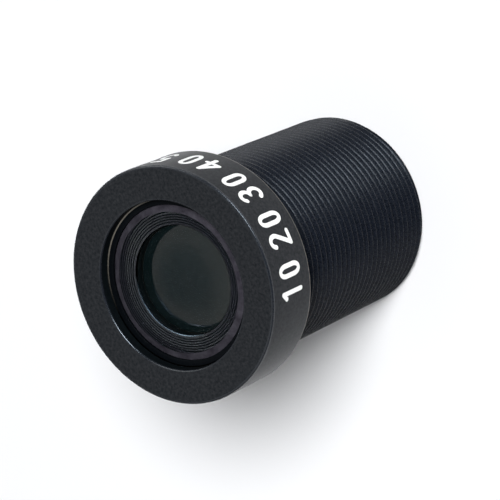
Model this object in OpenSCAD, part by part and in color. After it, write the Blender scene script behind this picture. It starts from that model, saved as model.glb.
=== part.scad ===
// M12 board camera lens: six glasses in four groups in a turned, threaded barrel.
// It stands on the rear end of the barrel, with the front glass up.
// Millimetres. Z is the lens axis, and z = 0 is the rear face of the barrel.

/* [Barrel] */
// Diameter of the head
head_d = 14; // [13:0.5:20]
// Height of the head
head_h = 3.8; // [3:0.2:6]
// Length of the barrel behind the head
barrel_h = 14.4; // [13:0.2:20]
// Chamfer at the front edge of the head
head_chamfer = 0.15; // [0.05:0.05:0.4]
// Chamfer at the back edge of the head
shoulder_chamfer = 0.1; // [0.05:0.05:0.4]
// Outer diameter of the thread
thread_d = 12; // [11.5:0.25:12.75]
// Pitch of the thread
thread_pitch = 0.5; // [0.35:0.05:0.75]
// Length of the plain neck between the thread and the head
neck_h = 0.6; // [0.3:0.1:1.5]
// Chamfer at the rear end of the thread
end_chamfer = 0.3; // [0.1:0.05:0.5]

/* [Front opening] */
// Chamfer round the front opening
opening_chamfer = 0.06; // [0.02:0.02:0.2]
// Depth of the front ring and of the glass rim below the front face
opening_depth = 0.7; // [0.6:0.05:1.5]
// Width of the flat seat under the front glass
seat_w = 0.9; // [0.5:0.05:1.1]
// Width of the grooved cone between the seat and the hole in the web
web_cone_w = 0.68; // [0.3:0.02:0.9]
// Number of light-trap grooves on the web
web_grooves = 4; // [1:1:6]
// Depth of the light-trap grooves
groove_depth = 0.09; // [0.04:0.01:0.15]

/* [Front ring] */
// Reach of the front retaining ring over the front glass
front_ring_lip = 0.13; // [0.08:0.01:0.3]
// Rounding of the front retaining ring's top edges
front_ring_round = 0.08; // [0.03:0.01:0.12]
// Thickness of the skirt of the front retaining ring
front_ring_skirt = 0.22; // [0.12:0.01:0.24]
// Height of the ledge under the front ring above the seat of the glass
ledge_h = 0.3; // [0.15:0.05:0.4]
// Width of the ledge under the front ring
ledge_w = 0.25; // [0.2:0.01:0.6]

/* [Front glass] */
// Diameter of the front glass
front_glass_d = 9.4; // [8:0.1:11]
// Width of the bevel round the front face
front_bevel_w = 0.55; // [0.3:0.05:0.8]
// Radius of curvature of the front face
front_radius = 16; // [13:0.5:60]
// Thickness of the front glass on its axis
front_thick = 1.4; // [1.35:0.05:2.2]
// Drop of the bevel round the front face
front_bevel = 0.22; // [0.1:0.02:0.3]

/* [Inner glasses] */
// Step between the rear ring's outside and the inner glasses, on the radius
rear_ring_step = 0.32; // [0.2:0.02:0.5]
// Air between the first and second glass on the axis
front_air = 0.2; // [0.1:0.05:0.6]
// Radius of the front face of the second glass
second_radius = 8.2; // [6:0.2:30]
// Thickness of the second glass on its axis
second_thick = 2.3; // [2:0.1:3]
// Radius of the cemented face between the second and third glass
front_cement_radius = 12.5; // [9:0.5:40]
// Thickness of the third glass on its axis
third_thick = 0.6; // [0.4:0.1:1.2]
// Radius of the hollow face of the third glass
third_radius = 5.2; // [4:0.1:12]
// Width of the flat rim round the hollow faces beside the stop
hollow_rim_w = 1.35; // [1:0.05:1.6]
// Radius of the hollow face of the fourth glass
fourth_radius = 5.6; // [4:0.1:12]
// Thickness of the fourth glass on its axis
fourth_thick = 0.6; // [0.4:0.1:1.2]
// Radius of the cemented face between the fourth and fifth glass
rear_cement_radius = 14; // [10:0.5:40]
// Thickness of the fifth glass on its axis
fifth_thick = 2.6; // [2.2:0.1:3.2]
// Radius of the domed face of the fifth glass
fifth_radius = 8.6; // [6.5:0.1:30]
// Width of the flat rim round the dome of the fifth glass
fifth_rim_w = 0.45; // [0.4:0.05:0.9]
// Air between the fifth and the rear glass on the axis
rear_air = 0.15; // [0.1:0.05:0.6]
// Radius of the front face of the rear glass
rear_front_radius = 20; // [10:0.5:60]
// Radius of the back face of the rear glass
rear_back_radius = 18; // [10:0.5:60]
// Width of the flat rim round the domes of the rear glass
rear_rim_w = 0.55; // [0.45:0.05:0.9]
// Thickness of the rear glass on its axis
rear_thick = 1.9; // [1.5:0.1:2.6]
// Width of the ground border at a cemented face
cement_border = 0.15; // [0.05:0.05:0.3]

/* [Spacers and stop] */
// Height of the spacer in front of the stop
front_spacer_h = 1.2; // [0.8:0.1:2]
// Height of the spacer behind the stop
rear_spacer_h = 1.2; // [0.8:0.1:2]
// Thickness of the aperture stop
stop_thick = 0.12; // [0.05:0.01:0.3]
// Aperture of the stop
stop_d = 4.6; // [3:0.1:5.4]

/* [Rear ring] */
// Height of the rear retaining ring
rear_ring_h = 1.5; // [1:0.1:2.2]
// Outer diameter of the rear retaining ring, which the inner glasses pass on their way in
rear_ring_d = 8.74; // [7.5:0.02:9.4]
// Widening of the rear ring's bore towards its back, on the radius
rear_ring_flare = 0.3; // [0.1:0.05:0.4]
// Width of the spanner slots
slot_w = 0.8; // [0.4:0.1:1.5]
// Depth of the spanner slots
slot_depth = 0.5; // [0.2:0.1:0.8]

/* [Clearances] */
// Gap round the front ring, on the radius
ring_fit = 0.02; // [0.01:0.01:0.04]
// Gap round each glass and spacer, on the radius
glass_fit = 0.02; // [0.01:0.01:0.04]
// Gap round the rear ring, on the radius
rear_ring_fit = 0.03; // [0.01:0.01:0.08]
// Gap between the front ring and its ledge
ledge_gap = 0.05; // [0.02:0.01:0.1]
// Gap between the dome of a glass and the bore round it, on the radius
dome_gap = 0.05; // [0.02:0.01:0.15]
// Gap between the dome of the second glass and the hole in the web, on the radius
web_gap = 0.07; // [0.03:0.01:0.2]
// Step between a hollow face and the bore of the spacer on it, on the radius
hollow_gap = 0.2; // [0.1:0.05:0.5]
// Layer of cement between two cemented glasses
cement = 0.01; // [0.005:0.005:0.02]

/* [Hidden] */
$fn = 180;

// Height of a dome or hollow of radius r over a face of diameter d
function sag(r, d) = r - sqrt(r * r - d * d / 4);

// Thread form: the flat crest is an eighth of the pitch and the flat root a quarter
thread_depth = 0.6134 * thread_pitch;
crest_w = thread_pitch / 8;
root_w = thread_pitch / 4;
flank_w = (thread_pitch - crest_w - root_w) / 2;
thread_count = floor((barrel_h - neck_h - end_chamfer) / thread_pitch);
root_r = thread_d / 2 - thread_depth;

// Diameters of the front group, all from the front glass
front_dome_d = front_glass_d - 2 * front_bevel_w;
front_ring_d = front_glass_d - 2 * front_ring_lip;
pocket_r = front_glass_d / 2 + glass_fit;
opening_r = pocket_r + ledge_w;
seat_r = front_glass_d / 2 - seat_w;
web_r = seat_r - web_cone_w;
second_dome_d = 2 * (web_r - web_gap);

// Diameters of the inner group, all from the rear ring that they pass
glass_d = rear_ring_d - 2 * rear_ring_step;
hollow_d = glass_d - 2 * hollow_rim_w;
spacer_bore_d = hollow_d + 2 * hollow_gap;
fifth_dome_d = glass_d - 2 * fifth_rim_w;
rear_dome_d = glass_d - 2 * rear_rim_w;
last_spacer_bore_d = max(fifth_dome_d, rear_dome_d) + 2 * dome_gap;
rear_ring_bore_d = rear_dome_d + 2 * dome_gap;

// Front group, from the front face down
total_h = barrel_h + head_h;
front_rim_z = total_h - opening_depth;
front_vertex_z = front_rim_z + sag(front_radius, front_dome_d);
seat_z = front_vertex_z - front_thick;
ledge_z = seat_z + ledge_h;
front_ring_r = opening_r - ring_fit;
bevel_slope = front_bevel / front_bevel_w;

// Inner glasses, from the front down: the z of each ground rim
cement_d = glass_d - 2 * cement_border;
front_cement_sag = sag(front_cement_radius, cement_d);
rear_cement_sag = sag(rear_cement_radius, cement_d);
second_front_z = seat_z - front_air - sag(second_radius, second_dome_d);
second_back_z = second_front_z - second_thick + sag(second_radius, second_dome_d) + front_cement_sag;
third_front_z = second_back_z - cement;
third_back_z = third_front_z - third_thick - front_cement_sag - sag(third_radius, hollow_d);
stop_front_z = third_back_z - front_spacer_h;
stop_back_z = stop_front_z - stop_thick;
fourth_front_z = stop_back_z - rear_spacer_h;
fourth_back_z = fourth_front_z - fourth_thick - rear_cement_sag - sag(fourth_radius, hollow_d);
fifth_front_z = fourth_back_z - cement;
fifth_back_z = fifth_front_z - fifth_thick + rear_cement_sag + sag(fifth_radius, fifth_dome_d);
fifth_vertex_z = fifth_back_z - sag(fifth_radius, fifth_dome_d);
rear_front_z = fifth_vertex_z - rear_air - sag(rear_front_radius, rear_dome_d);
rear_back_z = rear_front_z - rear_thick
    + sag(rear_front_radius, rear_dome_d) + sag(rear_back_radius, rear_dome_d);

// Bores of the barrel
bore_r = glass_d / 2 + glass_fit;
rear_bore_r = rear_ring_d / 2 + rear_ring_fit;
rear_step_z = (rear_front_z + rear_back_z) / 2;
mouth_chamfer = 0.2;
spacer_r = glass_d / 2;
stop_land = 0.03;
// Overlap that makes two joined outlines one
weld = 0.05;

module dome(z, radius, d, side) {
    rise = sag(radius, d);
    intersection() {
        translate([0, z + side * (rise - radius)]) circle(r = radius);
        translate([0, side > 0 ? z - weld : z - rise - weld]) square([d / 2, rise + 2 * weld]);
    }
}

module hollow(z, radius, d, side) {
    translate([0, z + side * sqrt(radius * radius - d * d / 4)]) circle(r = radius);
}

// A turned glass: a radius above zero is a dome, one below zero a hollow, and zero a flat
module glass(front_z, back_z, front_r, front_d, back_r, back_d) {
    rotate_extrude() intersection() {
        difference() {
            union() {
                translate([0, back_z]) square([glass_d / 2, front_z - back_z]);
                if (front_r > 0) dome(front_z, front_r, front_d, 1);
                if (back_r > 0) dome(back_z, back_r, back_d, -1);
            }
            if (front_r < 0) hollow(front_z, -front_r, front_d, 1);
            if (back_r < 0) hollow(back_z, -back_r, back_d, -1);
        }
        translate([0, back_z - glass_d]) square([glass_d, front_z - back_z + 2 * glass_d]);
    }
}

module head_outline() {
    polygon([
        [0, barrel_h],
        [head_d / 2 - shoulder_chamfer, barrel_h],
        [head_d / 2, barrel_h + shoulder_chamfer],
        [head_d / 2, total_h - head_chamfer],
        [head_d / 2 - head_chamfer, total_h],
        [0, total_h]
    ]);
}

module thread_outline() {
    translate([0, 0]) square([root_r, barrel_h + weld]);
    for (i = [0 : thread_count - 1]) {
        z = end_chamfer + i * thread_pitch + root_w / 2;
        polygon([
            [root_r - weld, z],
            [root_r, z],
            [thread_d / 2, z + flank_w],
            [thread_d / 2, z + flank_w + crest_w],
            [root_r, z + 2 * flank_w + crest_w],
            [root_r - weld, z + 2 * flank_w + crest_w]
        ]);
    }
}

// Everything that the rear chamfer leaves standing
module chamfer_limit() {
    polygon([
        [0, 0],
        [min(thread_d / 2 - end_chamfer, root_r), 0],
        [thread_d / 2, end_chamfer],
        [thread_d / 2, barrel_h + weld],
        [0, barrel_h + weld]
    ]);
}

module barrel_bores() {
    polygon([
        [0, -weld],
        [rear_bore_r + mouth_chamfer + weld, -weld],
        [rear_bore_r, mouth_chamfer],
        [rear_bore_r, rear_step_z],
        [bore_r, rear_step_z],
        [bore_r, second_front_z],
        [web_r, second_front_z],
        [web_r, seat_z - groove_depth],
        [seat_r, seat_z],
        [pocket_r, seat_z],
        [pocket_r, ledge_z],
        [opening_r, ledge_z],
        [opening_r, total_h - opening_chamfer],
        [opening_r + opening_chamfer + weld, total_h + weld],
        [0, total_h + weld]
    ]);
}

// Rings cut into the cone of the web, which keep stray light from the second glass
module web_groove_cuts() {
    pitch = web_cone_w / web_grooves;
    for (i = [0 : web_grooves - 1]) {
        r = web_r + (i + 0.5) * pitch;
        z = seat_z - groove_depth * (web_grooves - i - 0.5) / web_grooves;
        polygon([[r - 0.35 * pitch, z + weld], [r + 0.35 * pitch, z + weld], [r, z - groove_depth]]);
    }
}

module barrel() {
    color("#2b2d30") rotate_extrude() difference() {
        union() {
            head_outline();
            intersection() {
                thread_outline();
                chamfer_limit();
            }
        }
        barrel_bores();
        web_groove_cuts();
    }
}

module front_retaining_ring() {
    bore_r = front_ring_d / 2;
    round_r = front_ring_round;
    lip_z = front_rim_z - bevel_slope * (bore_r - front_dome_d / 2);
    edge_z = front_rim_z - front_bevel;
    color("#26272b") rotate_extrude() union() {
        polygon([
            [bore_r, lip_z],
            [front_glass_d / 2, edge_z],
            [front_ring_r - front_ring_skirt, edge_z],
            [front_ring_r - front_ring_skirt, ledge_z + ledge_gap],
            [front_ring_r, ledge_z + ledge_gap],
            [front_ring_r, front_rim_z - round_r],
            [front_ring_r - round_r, front_rim_z],
            [bore_r + round_r, front_rim_z],
            [bore_r, front_rim_z - round_r]
        ]);
        for (r = [bore_r + round_r, front_ring_r - round_r]) {
            intersection() {
                translate([r, front_rim_z - round_r]) circle(r = round_r);
                translate([r - round_r, front_rim_z - round_r]) square([2 * round_r, round_r]);
            }
        }
    }
}

module front_lens() {
    color("#5b7d78", 0.6) rotate_extrude() {
        polygon([
            [0, seat_z],
            [front_glass_d / 2, seat_z],
            [front_glass_d / 2, front_rim_z - front_bevel],
            [front_dome_d / 2, front_rim_z],
            [0, front_rim_z]
        ]);
        dome(front_rim_z, front_radius, front_dome_d, 1);
    }
}

module second_lens() {
    color("#6f8f9a", 0.6)
        glass(second_front_z, second_back_z, second_radius, second_dome_d, front_cement_radius, cement_d);
}

module third_lens() {
    color("#8a83a0", 0.6)
        glass(third_front_z, third_back_z, -front_cement_radius, cement_d, -third_radius, hollow_d);
}

// A spacer with three light-trap grooves in its bore
module stop_spacer(back_z, height) {
    groove_pitch = height / 4;
    rotate_extrude() difference() {
        translate([spacer_bore_d / 2, back_z]) square([spacer_r - spacer_bore_d / 2, height]);
        for (i = [1 : 3]) {
            z = back_z + i * groove_pitch;
            polygon([
                [spacer_bore_d / 2 - weld, z - groove_pitch / 3],
                [spacer_bore_d / 2 - weld, z + groove_pitch / 3],
                [spacer_bore_d / 2 + groove_depth, z]
            ]);
        }
    }
}

module front_spacer() {
    color("#1f2023") stop_spacer(stop_front_z, front_spacer_h);
}

// The opening of the stop is bevelled to a narrow land on its front
module aperture_stop() {
    color("#101012") rotate_extrude() polygon([
        [stop_d / 2, stop_front_z],
        [spacer_r, stop_front_z],
        [spacer_r, stop_back_z],
        [stop_d / 2 + stop_thick, stop_back_z],
        [stop_d / 2, stop_front_z - stop_land]
    ]);
}

module rear_spacer() {
    color("#1f2023") stop_spacer(fourth_front_z, rear_spacer_h);
}

module fourth_lens() {
    color("#8a83a0", 0.6)
        glass(fourth_front_z, fourth_back_z, -fourth_radius, hollow_d, -rear_cement_radius, cement_d);
}

module fifth_lens() {
    color("#6f8f9a", 0.6)
        glass(fifth_front_z, fifth_back_z, rear_cement_radius, cement_d, fifth_radius, fifth_dome_d);
}

module long_spacer() {
    color("#1f2023") rotate_extrude()
        translate([last_spacer_bore_d / 2, rear_front_z])
            square([spacer_r - last_spacer_bore_d / 2, fifth_back_z - rear_front_z]);
}

module rear_lens() {
    color("#5b7d78", 0.6)
        glass(rear_front_z, rear_back_z, rear_front_radius, rear_dome_d, rear_back_radius, rear_dome_d);
}

module rear_retaining_ring() {
    back_z = rear_back_z - rear_ring_h;
    color("#26272b") difference() {
        rotate_extrude() polygon([
            [rear_ring_bore_d / 2, rear_back_z],
            [rear_ring_d / 2, rear_back_z],
            [rear_ring_d / 2, back_z],
            [rear_ring_bore_d / 2 + rear_ring_flare, back_z],
            [rear_ring_bore_d / 2, rear_back_z - rear_ring_h / 3]
        ]);
        translate([-rear_ring_d, -slot_w / 2, back_z - slot_depth])
            cube([2 * rear_ring_d, slot_w, 2 * slot_depth]);
    }
}

barrel();
front_retaining_ring();
front_lens();
second_lens();
third_lens();
front_spacer();
aperture_stop();
rear_spacer();
fourth_lens();
fifth_lens();
long_spacer();
rear_lens();
rear_retaining_ring();
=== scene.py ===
import math

import bmesh
import bpy
import numpy as np
from mathutils import Matrix, Vector


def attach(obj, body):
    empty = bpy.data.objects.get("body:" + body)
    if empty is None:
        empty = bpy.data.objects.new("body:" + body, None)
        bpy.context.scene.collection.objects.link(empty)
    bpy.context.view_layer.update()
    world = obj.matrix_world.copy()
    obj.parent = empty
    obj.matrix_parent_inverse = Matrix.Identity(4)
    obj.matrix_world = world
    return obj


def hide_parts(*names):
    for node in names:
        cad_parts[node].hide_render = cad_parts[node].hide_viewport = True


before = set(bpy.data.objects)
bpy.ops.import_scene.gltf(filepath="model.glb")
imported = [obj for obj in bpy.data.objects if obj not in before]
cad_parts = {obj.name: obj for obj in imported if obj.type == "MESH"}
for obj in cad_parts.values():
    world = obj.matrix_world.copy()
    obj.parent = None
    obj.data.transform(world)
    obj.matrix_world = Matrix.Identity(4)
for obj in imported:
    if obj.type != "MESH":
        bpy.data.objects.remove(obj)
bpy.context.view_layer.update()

MM = 0.001

# Sizes of the lens in millimetres, the same as in the part's source
HEAD_R = 7.0
HEAD_SKIN = 6.994
HEAD_BACK = 14.4
TOP = 18.2
HEAD_CHAMFER = 0.15
SHOULDER_CHAMFER = 0.1
CREST_R = 6.0
PITCH = 0.5
ROOT_R = CREST_R - 0.6134 * PITCH
NECK_START = 13.8
END_CHAMFER = 0.3
OPENING_R = 4.97
OPENING_CHAMFER = 0.06
LEDGE_Z = 16.9476
POCKET_R = 4.72
SEAT_Z = 16.6476
SEAT_R = 3.8
WEB_R = 3.12
WEB_GROOVES = 8
WEB_FALL = 0.09
WEB_ROUND = 0.14
GROOVE_DEPTH = 0.07
GROOVES_R = 4.45
STEP_WIDTH = 0.07
STEP_RISE = 0.025
SHELF_Z = 15.8592
BORE_R = 4.07
STEP_Z = 5.2753
REAR_BORE_R = 4.40
MOUTH_CHAMFER = 0.2
RIM_Z = 17.5
RING_BORE_R = 4.57
RING_R = 4.95
GLASS_R = 4.7
DOME_R = 4.15
DOME_RADIUS = 16.0
BEVEL = 0.22
INNER_R = 4.05
SEAT_GAP = 0.02

# The inner glasses: for each face its rim's height, its sphere's radius, its rim's radius, and 1 where
# its middle stands up or -1 where it dips
INNER_GLASSES = {
    "second_lens": ((SHELF_Z - 0.002, 8.2, 3.05, 1), (14.7715, 12.5, 3.9, -1)),
    "third_lens": ((14.7615, 12.5, 3.9, -1), (12.7817, 5.2, 2.7, 1)),
    "fourth_lens": ((10.2617, 5.6, 2.7, -1), (8.4136, 14.0, 3.9, 1)),
    "fifth_lens": ((8.4036, 14.0, 3.9, 1), (7.1475, 8.6, 3.6, -1)),
    "rear_lens": ((5.8992, 20.0, 3.5, 1), (4.6514, 18.0, 3.5, -1)),
}

# Tints of each coating, at the middle of the glass and near its rim, and the share of the light that a
# coated face mirrors
COAT_FRONT = ((0.82, 0.89, 1.0), (0.88, 0.92, 1.0))
COAT_GREEN = ((0.70, 0.98, 0.95), (0.82, 0.97, 1.0))
COAT_PALE = ((0.50, 0.46, 0.50), (1.0, 0.85, 0.86))
SHARE_FRONT = 0.0006
SHARE_BACK = 0.0006
SHARE_SECOND = 0.049
SHARE_DEEP = 0.004
HAZE = 0.012
HAZE_DARK = (0.26, 0.58, 0.68)
HAZE_LIGHT = (0.44, 0.72, 0.82)


# Mesh helpers

def soften(points, radius, steps=3):
    """Rounds each inner corner of an open line of (r, z) points with a small arc."""
    out = [points[0]]
    for before, here, after in zip(points, points[1:], points[2:]):
        a = np.subtract(before, here)
        b = np.subtract(after, here)
        la = float(np.hypot(*a))
        lb = float(np.hypot(*b))
        cut = min(radius, 0.4 * la, 0.4 * lb)
        start = np.add(here, a / la * cut)
        end = np.add(here, b / lb * cut)
        for i in range(steps + 1):
            t = i / steps
            p = (1 - t) ** 2 * start + 2 * t * (1 - t) * np.array(here) + t * t * end
            out.append((float(p[0]), float(p[1])))
    out.append(points[-1])
    return out


def arc(radius, r_from, r_to, z_edge, edge_r, side, steps):
    """Points on a spherical face: side 1 bulges up from its edge (edge_r, z_edge), side -1 down."""
    drop = math.sqrt(radius * radius - edge_r * edge_r)
    points = []
    for i in range(steps + 1):
        r = r_from + (r_to - r_from) * i / steps
        points.append((r, z_edge + side * (math.sqrt(radius * radius - r * r) - drop)))
    return points


def finish_mesh(bm, name, sharp_deg):
    bmesh.ops.remove_doubles(bm, verts=bm.verts, dist=2e-8)
    bmesh.ops.dissolve_degenerate(bm, edges=bm.edges, dist=2e-8)
    bmesh.ops.recalc_face_normals(bm, faces=bm.faces)
    limit = math.radians(sharp_deg)
    for face in bm.faces:
        face.smooth = True
    for edge in bm.edges:
        if len(edge.link_faces) == 2:
            edge.smooth = edge.calc_face_angle(0.0) < limit
    mesh = bpy.data.meshes.new(name)
    bm.to_mesh(mesh)
    bm.free()
    piece = bpy.data.objects.new(name, mesh)
    bpy.context.scene.collection.objects.link(piece)
    return piece


def turned(name, groups, segments=160, sharp_deg=28):
    """A solid of revolution. groups is a list of (material index, [(r, z), ...]) that follow each other
    round the section; the last point meets the first."""
    bm = bmesh.new()
    rings = []
    for index, points in groups:
        for r, z in points:
            if rings and abs(rings[-1][1] - r) < 1e-6 and abs(rings[-1][2] - z) < 1e-6:
                rings[-1] = (index, rings[-1][1], rings[-1][2])
                continue
            rings.append((index, r, z))
    rows = []
    for index, r, z in rings:
        if r < 1e-6:
            vert = bm.verts.new((0, 0, z * MM))
            rows.append([vert] * segments)
            continue
        rows.append([
            bm.verts.new((
                r * MM * math.cos(2 * math.pi * m / segments),
                r * MM * math.sin(2 * math.pi * m / segments),
                z * MM,
            ))
            for m in range(segments)
        ])
    for k in range(len(rows)):
        low = rows[k]
        high = rows[(k + 1) % len(rows)]
        if rings[k][1] < 1e-6 and rings[(k + 1) % len(rings)][1] < 1e-6:
            continue
        for m in range(segments):
            n = (m + 1) % segments
            corners = []
            for vert in (low[m], low[n], high[n], high[m]):
                if vert not in corners:
                    corners.append(vert)
            if len(corners) > 2:
                face = bm.faces.new(corners)
                face.material_index = rings[k][0]
    return finish_mesh(bm, name, sharp_deg)


# Camera: the lens stands on its rear end and the picture is rolled, so that it lies as in the photograph

def make_camera():
    data = bpy.data.cameras.new("camera")
    data.sensor_width = 36.0
    data.lens = 179.34
    data.clip_start = 0.001
    data.clip_end = 20.0
    camera = bpy.data.objects.new("camera", data)
    bpy.context.scene.collection.objects.link(camera)
    right = Vector((-0.40360, -0.72245, -0.56140))
    up = Vector((0.91493, -0.31869, -0.24765))
    back = right.cross(up).normalized()
    turn = Matrix((right, up, back)).transposed().to_4x4()
    camera.matrix_world = Matrix.Translation(Vector((0.0543, -90.1806, 126.2065)) * MM) @ turn
    bpy.context.scene.camera = camera


# Materials

def new_material(name):
    material = bpy.data.materials.new(name)
    material.use_nodes = True
    nodes = material.node_tree.nodes
    nodes.clear()
    output = nodes.new("ShaderNodeOutputMaterial")
    shader = nodes.new("ShaderNodeBsdfPrincipled")
    material.node_tree.links.new(shader.outputs["BSDF"], output.inputs["Surface"])
    return material, material.node_tree, shader


def noise(tree, vector, scale, detail=2.0, rough=0.5):
    node = tree.nodes.new("ShaderNodeTexNoise")
    node.inputs["Scale"].default_value = scale
    node.inputs["Detail"].default_value = detail
    node.inputs["Roughness"].default_value = rough
    tree.links.new(vector, node.inputs["Vector"])
    return node.outputs["Fac"]


def spread(tree, value, low, high):
    """Maps 0.3 to 0.7, where most of a noise lies, to low and high."""
    node = tree.nodes.new("ShaderNodeMapRange")
    node.inputs["From Min"].default_value = 0.3
    node.inputs["From Max"].default_value = 0.7
    node.inputs["To Min"].default_value = low
    node.inputs["To Max"].default_value = high
    tree.links.new(value, node.inputs["Value"])
    return node.outputs["Result"]


def blend_colour(tree, factor, first, second):
    node = tree.nodes.new("ShaderNodeMix")
    node.data_type = "RGBA"
    node.inputs[6].default_value = (*first, 1)
    node.inputs[7].default_value = (*second, 1)
    tree.links.new(factor, node.inputs[0])
    return node.outputs[2]


def bump(tree, height, distance, strength, normal=None):
    node = tree.nodes.new("ShaderNodeBump")
    node.inputs["Distance"].default_value = distance
    node.inputs["Strength"].default_value = strength
    tree.links.new(height, node.inputs["Height"])
    if normal is not None:
        tree.links.new(normal, node.inputs["Normal"])
    return node.outputs["Normal"]


def object_point(tree):
    return tree.nodes.new("ShaderNodeTexCoord").outputs["Object"]


def from_axis(tree, point):
    """Distance from the lens axis."""
    flat = tree.nodes.new("ShaderNodeVectorMath")
    flat.operation = "MULTIPLY"
    flat.inputs[1].default_value = (1, 1, 0)
    tree.links.new(point, flat.inputs[0])
    length = tree.nodes.new("ShaderNodeVectorMath")
    length.operation = "LENGTH"
    tree.links.new(flat.outputs["Vector"], length.inputs[0])
    return length.outputs["Value"]


def turned_point(tree, point):
    """Distance from the axis and height, so that a noise on it makes rings round the lens."""
    split = tree.nodes.new("ShaderNodeSeparateXYZ")
    tree.links.new(point, split.inputs[0])
    join = tree.nodes.new("ShaderNodeCombineXYZ")
    tree.links.new(from_axis(tree, point), join.inputs["X"])
    tree.links.new(split.outputs["Z"], join.inputs["Y"])
    return join.outputs["Vector"]


def painted_glint_side(tree, point, colour, azimuth, radius):
    """Keeps an edge's colour on one side of the lens and fades it to black round the rest: a painted glint, kept only
    on the side where the lamps catch the edge.
    """
    angle = math.radians(azimuth)
    facing = tree.nodes.new("ShaderNodeVectorMath")
    facing.operation = "DOT_PRODUCT"
    facing.inputs[1].default_value = (math.cos(angle), math.sin(angle), 0)
    tree.links.new(point, facing.inputs[0])
    kept = tree.nodes.new("ShaderNodeMapRange")
    kept.interpolation_type = "SMOOTHSTEP"
    kept.inputs["From Min"].default_value = 0.53 * radius * MM
    kept.inputs["From Max"].default_value = 0.90 * radius * MM
    tree.links.new(facing.outputs["Value"], kept.inputs["Value"])
    fade = tree.nodes.new("ShaderNodeMix")
    fade.data_type = "RGBA"
    fade.inputs[6].default_value = (0, 0, 0, 1)
    tree.links.new(colour, fade.inputs[7])
    tree.links.new(kept.outputs["Result"], fade.inputs[0])
    return fade.outputs[2]


def anodised(name, dark, light, rough_low, rough_high, grain, rings, level=0.5, metal=0.0, glint_side_at=None):
    """Black anodised aluminium: a dyed, slightly blotchy layer with turning marks and a fine grain. With
    metal it is an edge where the dyed layer is thin or rubbed through. glint_side_at gives a side's azimuth and the
    edge's radius:
    the metal is then kept on that side only and fades to black round the rest, a painted glint."""
    material, tree, shader = new_material(name)
    point = object_point(tree)
    mottle = spread(tree, noise(tree, point, 5600.0, 3.0, 0.7), 0.0, 1.0)
    colour = blend_colour(tree, mottle, dark, light)
    # An edge's colour kept on one side only is a painted glint.
    if glint_side_at is not None:
        colour = painted_glint_side(tree, point, colour, *glint_side_at)
    tree.links.new(colour, shader.inputs["Base Color"])
    fine = noise(tree, point, 16000.0, 3.0, 0.6)
    tree.links.new(spread(tree, fine, rough_low, rough_high), shader.inputs["Roughness"])
    marks = noise(tree, turned_point(tree, point), 22000.0, 2.0)
    normal = bump(tree, marks, 2e-6, rings)
    normal = bump(tree, fine, 4e-6, grain, normal)
    tree.links.new(normal, shader.inputs["Normal"])
    shader.inputs["Specular IOR Level"].default_value = level
    shader.inputs["Metallic"].default_value = metal
    return material


def rim_share(tree, point):
    """Rises from 0 in the middle of a glass to 1 near its rim, with an uneven edge."""
    uneven = tree.nodes.new("ShaderNodeMath")
    uneven.operation = "MULTIPLY_ADD"
    uneven.inputs[1].default_value = 0.0014
    tree.links.new(noise(tree, point, 620.0, 2.0), uneven.inputs[0])
    tree.links.new(from_axis(tree, point), uneven.inputs[2])
    rim = tree.nodes.new("ShaderNodeMapRange")
    rim.interpolation_type = "SMOOTHSTEP"
    rim.inputs["From Min"].default_value = 0.0017
    rim.inputs["From Max"].default_value = 0.0034
    tree.links.new(uneven.outputs["Value"], rim.inputs["Value"])
    return rim.outputs["Result"]


def coated_glass(name, coats, share, lit_through=False, ior=1.52, haze=0.0, clear=1.0):
    """Polished glass with an anti-reflection coating: it mirrors only a small share of the light, in tints
    that change towards the rim, and lets the rest through, scaled by clear; a small clear makes a near-black sheet of
    painted shade."""
    material, tree, shader = new_material(name)
    output = next(n for n in tree.nodes if n.type == "OUTPUT_MATERIAL")
    tree.nodes.remove(shader)
    point = object_point(tree)
    smear = noise(tree, point, 400.0, 4.0, 0.6)
    normal = bump(tree, smear, 1e-7, 0.2)
    rough = spread(tree, smear, 0.0, 0.03)

    through = tree.nodes.new("ShaderNodeBsdfRefraction")
    through.inputs["IOR"].default_value = ior
    first = tuple(clear * c for c in (0.96, 0.98, 0.97))
    second = tuple(clear * c for c in (0.94, 0.97, 0.95))
    tree.links.new(blend_colour(tree, smear, first, second), through.inputs["Color"])
    mirror = tree.nodes.new("ShaderNodeBsdfAnisotropic")
    tree.links.new(blend_colour(tree, rim_share(tree, point), *coats), mirror.inputs["Color"])
    for part in (through, mirror):
        tree.links.new(rough, part.inputs["Roughness"])
        tree.links.new(normal, part.inputs["Normal"])

    edge_on = tree.nodes.new("ShaderNodeLayerWeight")
    edge_on.inputs["Blend"].default_value = 0.12
    amount = tree.nodes.new("ShaderNodeMapRange")
    amount.inputs["To Min"].default_value = share
    amount.inputs["To Max"].default_value = 0.5
    tree.links.new(edge_on.outputs["Facing"], amount.inputs["Value"])
    amount.inputs["From Min"].default_value = 0.3
    amount.inputs["From Max"].default_value = 1.0
    surface = tree.nodes.new("ShaderNodeMixShader")
    tree.links.new(amount.outputs["Result"], surface.inputs[0])
    tree.links.new(through.outputs[0], surface.inputs[1])
    tree.links.new(mirror.outputs[0], surface.inputs[2])
    if haze > 0.0:
        veil = tree.nodes.new("ShaderNodeBsdfDiffuse")
        tree.links.new(blend_colour(tree, smear, HAZE_DARK, HAZE_LIGHT), veil.inputs["Color"])
        clean = surface
        surface = tree.nodes.new("ShaderNodeMixShader")
        surface.inputs[0].default_value = haze
        tree.links.new(clean.outputs[0], surface.inputs[1])
        tree.links.new(veil.outputs[0], surface.inputs[2])
    tree.links.new(surface.outputs[0], output.inputs["Surface"])
    if lit_through:
        let_light_through(tree, surface.outputs[0])
    return material


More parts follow.
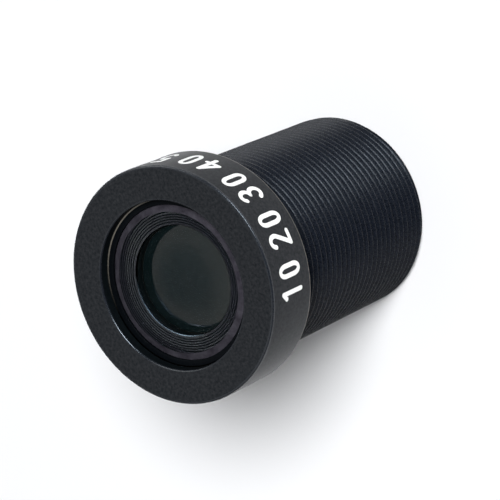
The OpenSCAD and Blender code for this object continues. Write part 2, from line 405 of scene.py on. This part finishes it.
def let_light_through(tree, surface):
    """Lets the lamps reach what lies behind the glass, past its bent rays."""
    output = next(n for n in tree.nodes if n.type == "OUTPUT_MATERIAL")
    path = tree.nodes.new("ShaderNodeLightPath")
    clear = tree.nodes.new("ShaderNodeBsdfTransparent")
    clear.inputs["Color"].default_value = (0.9, 0.92, 0.91, 1)
    mix = tree.nodes.new("ShaderNodeMixShader")
    tree.links.new(path.outputs["Is Shadow Ray"], mix.inputs[0])
    tree.links.new(surface, mix.inputs[1])
    tree.links.new(clear.outputs[0], mix.inputs[2])
    tree.links.new(mix.outputs[0], output.inputs["Surface"])


def ground_glass(name):
    """The ground bevel of a glass: a pale, fine-grained surface."""
    material, tree, shader = new_material(name)
    point = object_point(tree)
    fine = noise(tree, point, 30000.0, 3.0)
    tree.links.new(spread(tree, fine, 0.45, 0.6), shader.inputs["Roughness"])
    mottle = spread(tree, noise(tree, point, 1500.0, 4.0, 0.7), 0.0, 1.0)
    colour = blend_colour(tree, mottle, (0.014, 0.0125, 0.0175), (0.050, 0.047, 0.058))
    tree.links.new(colour, shader.inputs["Base Color"])
    tree.links.new(bump(tree, fine, 2e-6, 0.4), shader.inputs["Normal"])
    shader.inputs["Specular IOR Level"].default_value = 0.1
    let_light_through(tree, shader.outputs["BSDF"])
    return material


def ink(name):
    """White printing ink: a thin matt coat with a soft mottle."""
    material, tree, shader = new_material(name)
    point = object_point(tree)
    fine = noise(tree, point, 12000.0, 3.0)
    tree.links.new(blend_colour(tree, fine, (0.82, 0.82, 0.80), (0.90, 0.90, 0.89)), shader.inputs["Base Color"])
    tree.links.new(spread(tree, fine, 0.45, 0.6), shader.inputs["Roughness"])
    tree.links.new(bump(tree, fine, 2e-6, 0.3), shader.inputs["Normal"])
    return material


def dress(piece, *materials):
    """Gives a piece its materials. Clearing would reset the faces of a new piece, so only CAD's are cleared."""
    if len(piece.data.materials):
        piece.data.materials.clear()
    for material in materials:
        piece.data.materials.append(material)


# Barrel with its helical thread

# One ridge of the thread: distance from the crest's middle in pitches, and height as a share of the depth
RIDGE = ((0.0, 1.0), (0.03, 0.99), (0.06, 0.955), (0.09, 0.88), (0.125, 0.765), (0.31, 0.09), (0.36, 0.02), (0.5, 0.0))
THREAD_PHASES = tuple(sorted({round(0.5 + side * x, 4) % 1.0 for x, h in RIDGE for side in (-1, 1)}))


def thread_radius(phase):
    """Radius of the thread at a phase of 0 to 1 along one pitch, with rounded crests and eased roots."""
    share = float(np.interp(abs(phase - 0.5), [x for x, h in RIDGE], [h for x, h in RIDGE]))
    return ROOT_R + (CREST_R - ROOT_R) * share


def thread_rows(segments):
    """Rows of points that follow the right-handed helix, cut off at the rear chamfer and at the neck."""
    rows = []
    start = -2 * PITCH
    turns = int(math.ceil((NECK_START - start) / PITCH)) + 2
    for turn in range(turns):
        for phase in THREAD_PHASES:
            row = []
            for m in range(segments):
                z = start + (turn + phase + m / segments) * PITCH
                z = min(max(z, 0.0), NECK_START)
                limit = min(ROOT_R + z * (CREST_R - ROOT_R) / END_CHAMFER, ROOT_R + (NECK_START - z))
                row.append((min(thread_radius(phase), limit), z))
            rows.append(row)
    return rows


# Materials of the barrel piece, in the order in which it is dressed
HEAD, INSIDE, THREAD, EDGE, SEAT, WORN_GLINT, BARE, STEP = range(8)


def web_height(r):
    """Height of the flat seat and, inside it, of the web's cone at a radius."""
    fall = WEB_FALL * (SEAT_R - r) / (SEAT_R - WEB_R)
    return SEAT_Z - max(0.0, fall)


def groove_sections():
    """The fine turned grooves of the seat and the web, from the outer edge inwards. The grooves' flanks
    are dull and take the dark inside colour, a painted shade in the grooves, and the lands between them shine."""
    inner_r = WEB_R + WEB_ROUND
    step = (GROOVES_R - inner_r) / WEB_GROOVES
    sections = []
    for i in reversed(range(WEB_GROOVES)):
        r = inner_r + (i + 0.5) * step
        outer = r + 0.22 * step
        inner = r - 0.22 * step
        sections.append((SEAT, [(outer, web_height(outer))]))
        # Dark flanks: painted shade in the grooves.
        sections.append((INSIDE, [(r, web_height(r) - GROOVE_DEPTH), (inner, web_height(inner))]))
    return sections


def barrel_sections():
    """The barrel's section from the thread's front end round the bore to its rear end, as (material,
    points). A stretch takes the material of the point that it runs to."""
    back_edge = soften([
        (ROOT_R, NECK_START),
        (ROOT_R, HEAD_BACK),
        (HEAD_SKIN, HEAD_BACK),
        (HEAD_SKIN, HEAD_BACK + 1.0),
    ], SHOULDER_CHAMFER, 6)
    front_edge = soften([
        (HEAD_SKIN, HEAD_BACK + 1.0),
        (HEAD_SKIN, TOP),
        (HEAD_SKIN - 1.0, TOP),
    ], HEAD_CHAMFER, 8)
    opening_edge = soften([
        (HEAD_SKIN - 1.0, TOP),
        (OPENING_R + OPENING_CHAMFER, TOP),
        (OPENING_R, TOP - OPENING_CHAMFER),
        (OPENING_R, TOP - 2 * OPENING_CHAMFER),
    ], 0.03)
    web_edge = soften([
        (WEB_R + WEB_ROUND, SEAT_Z - WEB_FALL),
        (WEB_R, SEAT_Z - WEB_FALL),
        (WEB_R, SEAT_Z - WEB_FALL - 0.2),
    ], 0.6 * WEB_ROUND, 5)
    rear = [
        (WEB_R, SHELF_Z),
        (BORE_R, SHELF_Z),
        (BORE_R, STEP_Z),
        (REAR_BORE_R, STEP_Z),
        (REAR_BORE_R, MOUTH_CHAMFER),
    ]
    return [
        (HEAD, back_edge[:9]),
        (BARE, back_edge[9:15]),
        (HEAD, front_edge[1:2]),
        (EDGE, front_edge[2:-1]),
        (HEAD, opening_edge[1:2]),
        (EDGE, opening_edge[2:]),
        (INSIDE, [(OPENING_R, RIM_Z + STEP_RISE + 0.005)]),
        (STEP, [(OPENING_R - STEP_WIDTH, RIM_Z + 0.005)]),
        (INSIDE, [(OPENING_R, RIM_Z + 0.002), (OPENING_R, LEDGE_Z), (POCKET_R, LEDGE_Z), (POCKET_R, SEAT_Z)]),
    ] + groove_sections() + [
        (SEAT, web_edge[1:2]),
        (WORN_GLINT, web_edge[2:]),
        (INSIDE, rear),
        (HEAD, [(REAR_BORE_R + MOUTH_CHAMFER, 0.0), (ROOT_R, 0.0)]),
    ]


def make_barrel(segments=144):
    bm = bmesh.new()
    rows = thread_rows(segments)
    per_turn = len(THREAD_PHASES)
    angles = [2 * math.pi * m / segments for m in range(segments)]

    def ring(points):
        return [
            bm.verts.new((r * MM * math.cos(a), r * MM * math.sin(a), z * MM))
            for (r, z), a in zip(points, angles)
        ]

    made = [ring(row) for row in rows]
    last = len(made) - 1
    for j in range(last):
        for m in range(segments):
            if m < segments - 1:
                corners = (made[j][m], made[j][m + 1], made[j + 1][m + 1], made[j + 1][m])
            else:
                near = min(j + per_turn, last)
                far = min(j + per_turn + 1, last)
                if near == far:
                    continue
                corners = (made[j][m], made[near][0], made[far][0], made[j + 1][m])
            bm.faces.new(corners)
    for face in bm.faces:
        face.material_index = THREAD
    previous = made[last]
    for material, points in barrel_sections():
        for point in points:
            here = ring([point] * segments)
            for m in range(segments):
                n = (m + 1) % segments
                face = bm.faces.new((previous[m], previous[n], here[n], here[m]))
                face.material_index = material
            previous = here
    return finish_mesh(bm, "barrel_turned", 50)


# Front ring and glasses

def make_front_ring():
    slope = BEVEL / (GLASS_R - DOME_R)
    lip = RIM_Z - slope * (RING_BORE_R - DOME_R)
    skirt = RING_R - 0.22
    top = soften([
        (RING_BORE_R, lip + 0.004),
        (RING_BORE_R, RIM_Z),
        (RING_R, RIM_Z),
        (RING_R, LEDGE_Z + 0.05),
    ], 0.03, 3)
    back = [
        (skirt, LEDGE_Z + 0.05),
        (skirt, RIM_Z - BEVEL),
        (GLASS_R, RIM_Z - BEVEL + 0.004),
    ]
    return turned("front_ring_turned", [(0, top + back)], 192, 40)


def make_front_glass():
    dome = arc(DOME_RADIUS, 0.0, DOME_R, RIM_Z, DOME_R, 1, 26)
    bevel = [(DOME_R, RIM_Z), (GLASS_R, RIM_Z - BEVEL)]
    edge = [(GLASS_R, RIM_Z - BEVEL), (GLASS_R, SEAT_Z + SEAT_GAP)]
    back = [(GLASS_R, SEAT_Z + SEAT_GAP), (0.0, SEAT_Z + SEAT_GAP)]
    groups = [(0, dome[:-1]), (1, bevel[:-1]), (1, edge[:-1]), (2, back)]
    return turned("front_glass_ground", groups, 192, 12)


def make_inner_glass(node, front, back):
    """A glass behind the web: its front face, its blackened rim and its back face."""
    front_z, front_radius, front_rim, front_side = front
    back_z, back_radius, back_rim, back_side = back
    face = arc(front_radius, 0.0, front_rim, front_z, front_rim, front_side, 24)
    rim = [(front_rim, front_z), (INNER_R, front_z), (INNER_R, back_z)]
    rear = arc(back_radius, back_rim, 0.0, back_z, back_rim, back_side, 24)
    return turned(node + "_polished", [(0, face[:-1]), (1, rim), (2, rear)], 160, 20)


# Plain numbers round the head, in strokes with round ends

DIGITS = {
    "0": [[(0.5, 0.28, 0.22, 0.28, 180, 360), (0.5, 0.72, 0.22, 0.28, 0, 180), None]],
    "1": [[(0.30, 0.82), (0.54, 1.0), (0.54, 0.0)]],
    "2": [[(0.5, 0.76, 0.25, 0.24, 165, -40), (0.24, 0.0), (0.78, 0.0)]],
    "3": [[(0.48, 0.76, 0.25, 0.24, 150, -90), (0.48, 0.26, 0.28, 0.26, 90, -150)]],
    "4": [[(0.62, 0.0), (0.62, 1.0), (0.18, 0.30), (0.82, 0.30)]],
    "5": [[(0.74, 1.0), (0.30, 1.0), (0.26, 0.56), (0.48, 0.32, 0.28, 0.31, 115, -150)]],
    "6": [[(0.66, 1.0), (0.5, 0.30, 0.26, 0.30, 150, -210)]],
}
PRINT_HEIGHT = 1.75
PRINT_WIDTH = 1.55
PRINT_STROKE = 0.27
PRINT_Z = HEAD_BACK + 1.02
PRINT_R = 6.9996
PRINT_DEPTH = 0.008
PRINT_START = -121.0
PRINT_STEP = 10.6
NUMBER_STEP = 25.0


def stroke_points(items):
    """Lines and arcs (x, y, half width, half height, from, to) as one list of points in the unit box."""
    points = []
    closed = False
    for item in items:
        if item is None:
            closed = True
        elif len(item) == 2:
            points.append(item)
        else:
            x, y, a, b, start, end = item
            steps = max(4, int(abs(end - start) / 12))
            for i in range(steps + 1):
                t = math.radians(start + (end - start) * i / steps)
                points.append((x + a * math.cos(t), y + b * math.sin(t)))
    if closed:
        points.append(points[0])
    return points


def dense(points, step):
    """Adds points so that a stroke bends with the round head."""
    out = [points[0]]
    for a, b in zip(points, points[1:]):
        count = max(1, int(math.hypot(b[0] - a[0], b[1] - a[1]) / step))
        for i in range(1, count + 1):
            out.append((a[0] + (b[0] - a[0]) * i / count, a[1] + (b[1] - a[1]) * i / count))
    return out


def wrapped(bm, along, height, radius):
    """A vertex on the head's side: along is the arc length and height the z, in millimetres."""
    angle = along / HEAD_R
    return bm.verts.new((radius * MM * math.cos(angle), radius * MM * math.sin(angle), height * MM))


def add_patch(bm, corners):
    """A thin closed plate on the head's side, with the given outline."""
    top = [wrapped(bm, x, y, PRINT_R) for x, y in corners]
    under = [wrapped(bm, x, y, PRINT_R - PRINT_DEPTH) for x, y in corners]
    bm.faces.new(top)
    bm.faces.new(list(reversed(under)))
    count = len(corners)
    for i in range(count):
        j = (i + 1) % count
        bm.faces.new((top[j], top[i], under[i], under[j]))


def add_stroke(bm, points, width):
    """A stroke as short plates with a round plate at each point."""
    half = width / 2
    for (x0, y0), (x1, y1) in zip(points, points[1:]):
        length = math.hypot(x1 - x0, y1 - y0)
        if length < 1e-6:
            continue
        nx = -(y1 - y0) / length * half
        ny = (x1 - x0) / length * half
        add_patch(bm, [(x0 + nx, y0 + ny), (x0 - nx, y0 - ny), (x1 - nx, y1 - ny), (x1 + nx, y1 + ny)])
    for x, y in points:
        add_patch(bm, [
            (x + half * math.cos(2 * math.pi * i / 16), y + half * math.sin(2 * math.pi * i / 16))
            for i in range(16)
        ])


def make_numbers():
    bm = bmesh.new()
    for n, text in enumerate(("10", "20", "30", "40", "50", "60")):
        for k, digit in enumerate(text):
            angle = math.radians(PRINT_START + n * NUMBER_STEP + k * PRINT_STEP)
            for items in DIGITS[digit]:
                line = [
                    (angle * HEAD_R + x * PRINT_WIDTH * 0.82, PRINT_Z + y * PRINT_HEIGHT)
                    for x, y in stroke_points(items)
                ]
                add_stroke(bm, dense(line, 0.12), PRINT_STROKE)
    bmesh.ops.recalc_face_normals(bm, faces=bm.faces)
    mesh = bpy.data.meshes.new("head_numbers")
    bm.to_mesh(mesh)
    bm.free()
    piece = bpy.data.objects.new("head_numbers", mesh)
    bpy.context.scene.collection.objects.link(piece)
    return piece


# Floor, lamps and surroundings

def make_floor():
    mesh = bpy.data.meshes.new("floor")
    half = 6.0
    mesh.from_pydata([(-half, -half, 0), (half, -half, 0), (half, half, 0), (-half, half, 0)], [], [(0, 1, 2, 3)])
    floor = bpy.data.objects.new("floor", mesh)
    bpy.context.scene.collection.objects.link(floor)
    material = bpy.data.materials.new("floor_white")
    material.use_nodes = True
    tree = material.node_tree
    tree.nodes.clear()
    output = tree.nodes.new("ShaderNodeOutputMaterial")
    matt = tree.nodes.new("ShaderNodeBsdfDiffuse")
    matt.inputs["Color"].default_value = (0.86, 0.86, 0.87, 1)
    glow = tree.nodes.new("ShaderNodeEmission")
    path = tree.nodes.new("ShaderNodeLightPath")
    seen = tree.nodes.new("ShaderNodeMath")
    seen.operation = "MAXIMUM"
    tree.links.new(path.outputs["Is Camera Ray"], seen.inputs[0])
    tree.links.new(path.outputs["Is Glossy Ray"], seen.inputs[1])
    either = tree.nodes.new("ShaderNodeMath")
    either.operation = "MAXIMUM"
    tree.links.new(seen.outputs[0], either.inputs[0])
    tree.links.new(path.outputs["Is Transmission Ray"], either.inputs[1])
    away = tree.nodes.new("ShaderNodeVectorMath")
    away.operation = "LENGTH"
    tree.links.new(object_point(tree), away.inputs[0])
    # The glow is nothing within 6 mm of the lens's axis and rises to full by 16 mm: a painted shadow on the floor under
    # and round the lens.
    glow_with_painted_shadow = tree.nodes.new("ShaderNodeMapRange")
    glow_with_painted_shadow.interpolation_type = "SMOOTHSTEP"
    glow_with_painted_shadow.inputs["From Min"].default_value = 0.006
    glow_with_painted_shadow.inputs["From Max"].default_value = 0.016
    glow_with_painted_shadow.inputs["To Min"].default_value = 0.0
    glow_with_painted_shadow.inputs["To Max"].default_value = FLOOR_LIFT
    tree.links.new(away.outputs["Value"], glow_with_painted_shadow.inputs["Value"])
    lift = tree.nodes.new("ShaderNodeMath")
    lift.operation = "MULTIPLY"
    tree.links.new(glow_with_painted_shadow.outputs["Result"], lift.inputs[1])
    tree.links.new(either.outputs[0], lift.inputs[0])
    tree.links.new(lift.outputs[0], glow.inputs["Strength"])
    both = tree.nodes.new("ShaderNodeAddShader")
    tree.links.new(matt.outputs[0], both.inputs[0])
    tree.links.new(glow.outputs[0], both.inputs[1])
    tree.links.new(both.outputs[0], output.inputs["Surface"])
    mesh.materials.append(material)


def lamp(name, place, target, size, radiance, colour, shape="DISK", size_y=None):
    """An area lamp of a given radiance, which faces its target."""
    data = bpy.data.lights.new(name, "AREA")
    data.shape = shape
    data.size = size
    area = math.pi * size * size / 4
    if shape == "RECTANGLE":
        data.size_y = size_y
        area = size * size_y
    elif shape == "ELLIPSE":
        data.size_y = size_y
        area = math.pi * size * size_y / 4
    data.energy = radiance * math.pi * area
    data.color = colour
    light = bpy.data.objects.new(name, data)
    bpy.context.scene.collection.objects.link(light)
    light.location = place
    light.rotation_euler = (Vector(target) - Vector(place)).to_track_quat("-Z", "Y").to_euler()
    return light


def direction(azimuth, elevation, distance):
    a = math.radians(azimuth)
    e = math.radians(elevation)
    return Vector((math.cos(a) * math.cos(e), math.sin(a) * math.cos(e), math.sin(e))) * distance


FLOOR_LIFT = 0.035
WORLD_NEAR = 0.02
WORLD_FAR = 0.16
WORLD_LOW = 0.8


def make_lights():
    centre = Vector((0, 0, 0.012))
    # A round soft lamp flat overhead, which the front glass mirrors
    over = Vector((-0.01, 0.85, 1.018))
    overhead = lamp("overhead", over, over - Vector((0, 0, 1)), 1.7, 0.5, (0.96, 0.99, 1.0))
    overhead.visible_diffuse = False
    # The main lamp, beside the camera on the picture's upper side
    # The glints' strip light stands to the right of the picture and the key light above it
    place = centre + direction(-59, 37, 1.0)
    strip = lamp("strip", place, centre, 0.66, 33.0, (0.76, 0.88, 1.0), "ELLIPSE", 0.24)
    strip.visible_transmission = False
    strip.visible_diffuse = False
    key = lamp("key", centre + direction(-73, 55, 1.0), centre, 0.42, 32.0, (0.98, 0.99, 1.0))
    key.visible_transmission = False
    key.visible_glossy = False
    side = lamp("side", centre + direction(18, 34, 1.0), centre, 0.8, 3.7, (0.97, 0.99, 1.0), "RECTANGLE", 0.4)
    side.visible_diffuse = False
    # A dim card on the picture's lower side
    card = lamp("card", centre + direction(169, 53, 1.0), centre, 0.8, 0.5, (1.0, 0.97, 0.93))
    card.visible_diffuse = False


def make_world():
    world = bpy.data.worlds.new("studio")
    bpy.context.scene.world = world
    world.use_nodes = True
    tree = world.node_tree
    tree.nodes.clear()
    output = tree.nodes.new("ShaderNodeOutputWorld")
    glow = tree.nodes.new("ShaderNodeBackground")
    point = tree.nodes.new("ShaderNodeTexCoord")
    split = tree.nodes.new("ShaderNodeSeparateXYZ")
    tree.links.new(point.outputs["Generated"], split.inputs[0])
    height = tree.nodes.new("ShaderNodeMapRange")
    height.interpolation_type = "SMOOTHSTEP"
    # The sky over the far side is paler than the one over the camera
    sky = tree.nodes.new("ShaderNodeMapRange")
    sky.interpolation_type = "SMOOTHSTEP"
    sky.inputs["From Min"].default_value = -0.45
    sky.inputs["From Max"].default_value = 0.5
    sky.inputs["To Min"].default_value = WORLD_NEAR
    sky.inputs["To Max"].default_value = WORLD_FAR
    tree.links.new(split.outputs["Y"], sky.inputs["Value"])
    height.inputs["From Min"].default_value = math.sin(math.radians(4))
    height.inputs["From Max"].default_value = math.sin(math.radians(13))
    height.inputs["To Min"].default_value = WORLD_LOW
    tree.links.new(sky.outputs["Result"], height.inputs["To Max"])
    tree.links.new(split.outputs["Z"], height.inputs["Value"])
    tree.links.new(height.outputs["Result"], glow.inputs["Strength"])
    glow.inputs["Color"].default_value = (0.98, 0.99, 1.0, 1)
    tree.links.new(glow.outputs[0], output.inputs["Surface"])


def main():
    bpy.context.scene.view_settings.view_transform = "Standard"
    make_camera()
    make_floor()
    make_lights()
    make_world()

    head_black = anodised("head_black", (0.0065, 0.0080, 0.0100), (0.0260, 0.0275, 0.0305), 0.30, 0.40, 0.3, 0.2, 0.08)
    thread_black = anodised("thread_black", (0.003, 0.0045, 0.008), (0.0080, 0.0100, 0.0155), 0.23, 0.31, 0.2, 0.2, 0.28)
    edge = anodised("edge_black", (0.008, 0.010, 0.014), (0.012, 0.015, 0.020), 0.20, 0.28, 0.2, 0.2, 0.45)
    # The web's inner edge: metal where the dyed layer is thin, kept on one side only, a painted glint.
    worn_glint = anodised("worn_edge_painted_glint", (0.24, 0.29, 0.38), (0.32, 0.38, 0.48), 0.20, 0.28, 0.2, 0.2, 0.5, 1.0, (122.0, WEB_R))
    bare = anodised("bare_edge", (0.13, 0.12, 0.105), (0.19, 0.176, 0.154), 0.24, 0.34, 0.2, 0.2, 0.5, 1.0)
    # The opening's step: bright metal kept on one side only, a painted glint.
    step = anodised("step_edge_painted_glint", (0.13, 0.12, 0.105), (0.19, 0.176, 0.154), 0.24, 0.34, 0.2, 0.2, 0.5, 1.0, (38.0, OPENING_R))
    seat = anodised("seat_black", (0.014, 0.013, 0.018), (0.022, 0.020, 0.028), 0.20, 0.30, 0.2, 0.2, 0.4)
    ring_black = anodised("ring_black", (0.0015, 0.002, 0.003), (0.003, 0.004, 0.005), 0.26, 0.36, 0.2, 0.3, 0.03)
    spacer = anodised("spacer_black", (0.003, 0.003, 0.004), (0.005, 0.005, 0.006), 0.5, 0.6, 0.3, 0.3, 0.2)
    front = coated_glass("front_glass_coated", COAT_FRONT, SHARE_FRONT, True)
    back = coated_glass("front_glass_back", COAT_GREEN, SHARE_BACK, True)
    # With clear=0.03 the second glass lets only a few hundredths through: a near-black sheet, painted shade for the
    # lens's dark inside behind it.
    second = coated_glass("second_glass_coated", COAT_PALE, SHARE_SECOND, True, haze=HAZE, clear=0.03)
    cement = coated_glass("cemented_face", COAT_GREEN, 0.0, False, 1.0)
    deep = coated_glass("inner_glass", COAT_GREEN, SHARE_DEEP)
    bevel = ground_glass("front_glass_bevel")
    inside = anodised("inside_black", (0.003, 0.0045, 0.0055), (0.005, 0.0075, 0.009), 0.28, 0.40, 0.3, 0.3, 0.12)
    blackened = anodised("blackened_rim", (0.002, 0.002, 0.002), (0.004, 0.004, 0.004), 0.5, 0.6, 0.3, 0.3, 0.05)
    white = ink("print_white")

    barrel = make_barrel()
    dress(barrel, head_black, inside, thread_black, edge, seat, worn_glint, bare, step)
    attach(barrel, "root")
    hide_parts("barrel")

    ring = make_front_ring()
    dress(ring, ring_black)
    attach(ring, "root")
    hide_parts("front_retaining_ring")

    glass_piece = make_front_glass()
    dress(glass_piece, front, bevel, back)
    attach(glass_piece, "root")
    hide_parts("front_lens")

    faces = {
        "second_lens": (second, cement),
        "third_lens": (cement, deep),
        "fourth_lens": (deep, cement),
        "fifth_lens": (cement, deep),
        "rear_lens": (deep, deep),
    }
    for node, (front_face, back_face) in INNER_GLASSES.items():
        inner_piece = make_inner_glass(node, front_face, back_face)
        dress(inner_piece, faces[node][0], blackened, faces[node][1])
        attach(inner_piece, "root")
        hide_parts(node)

    numbers = make_numbers()
    dress(numbers, white)
    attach(numbers, "root")

    for name in ("front_spacer", "rear_spacer", "long_spacer", "aperture_stop"):
        dress(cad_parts[name], spacer)
    dress(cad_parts["rear_retaining_ring"], ring_black)


main()
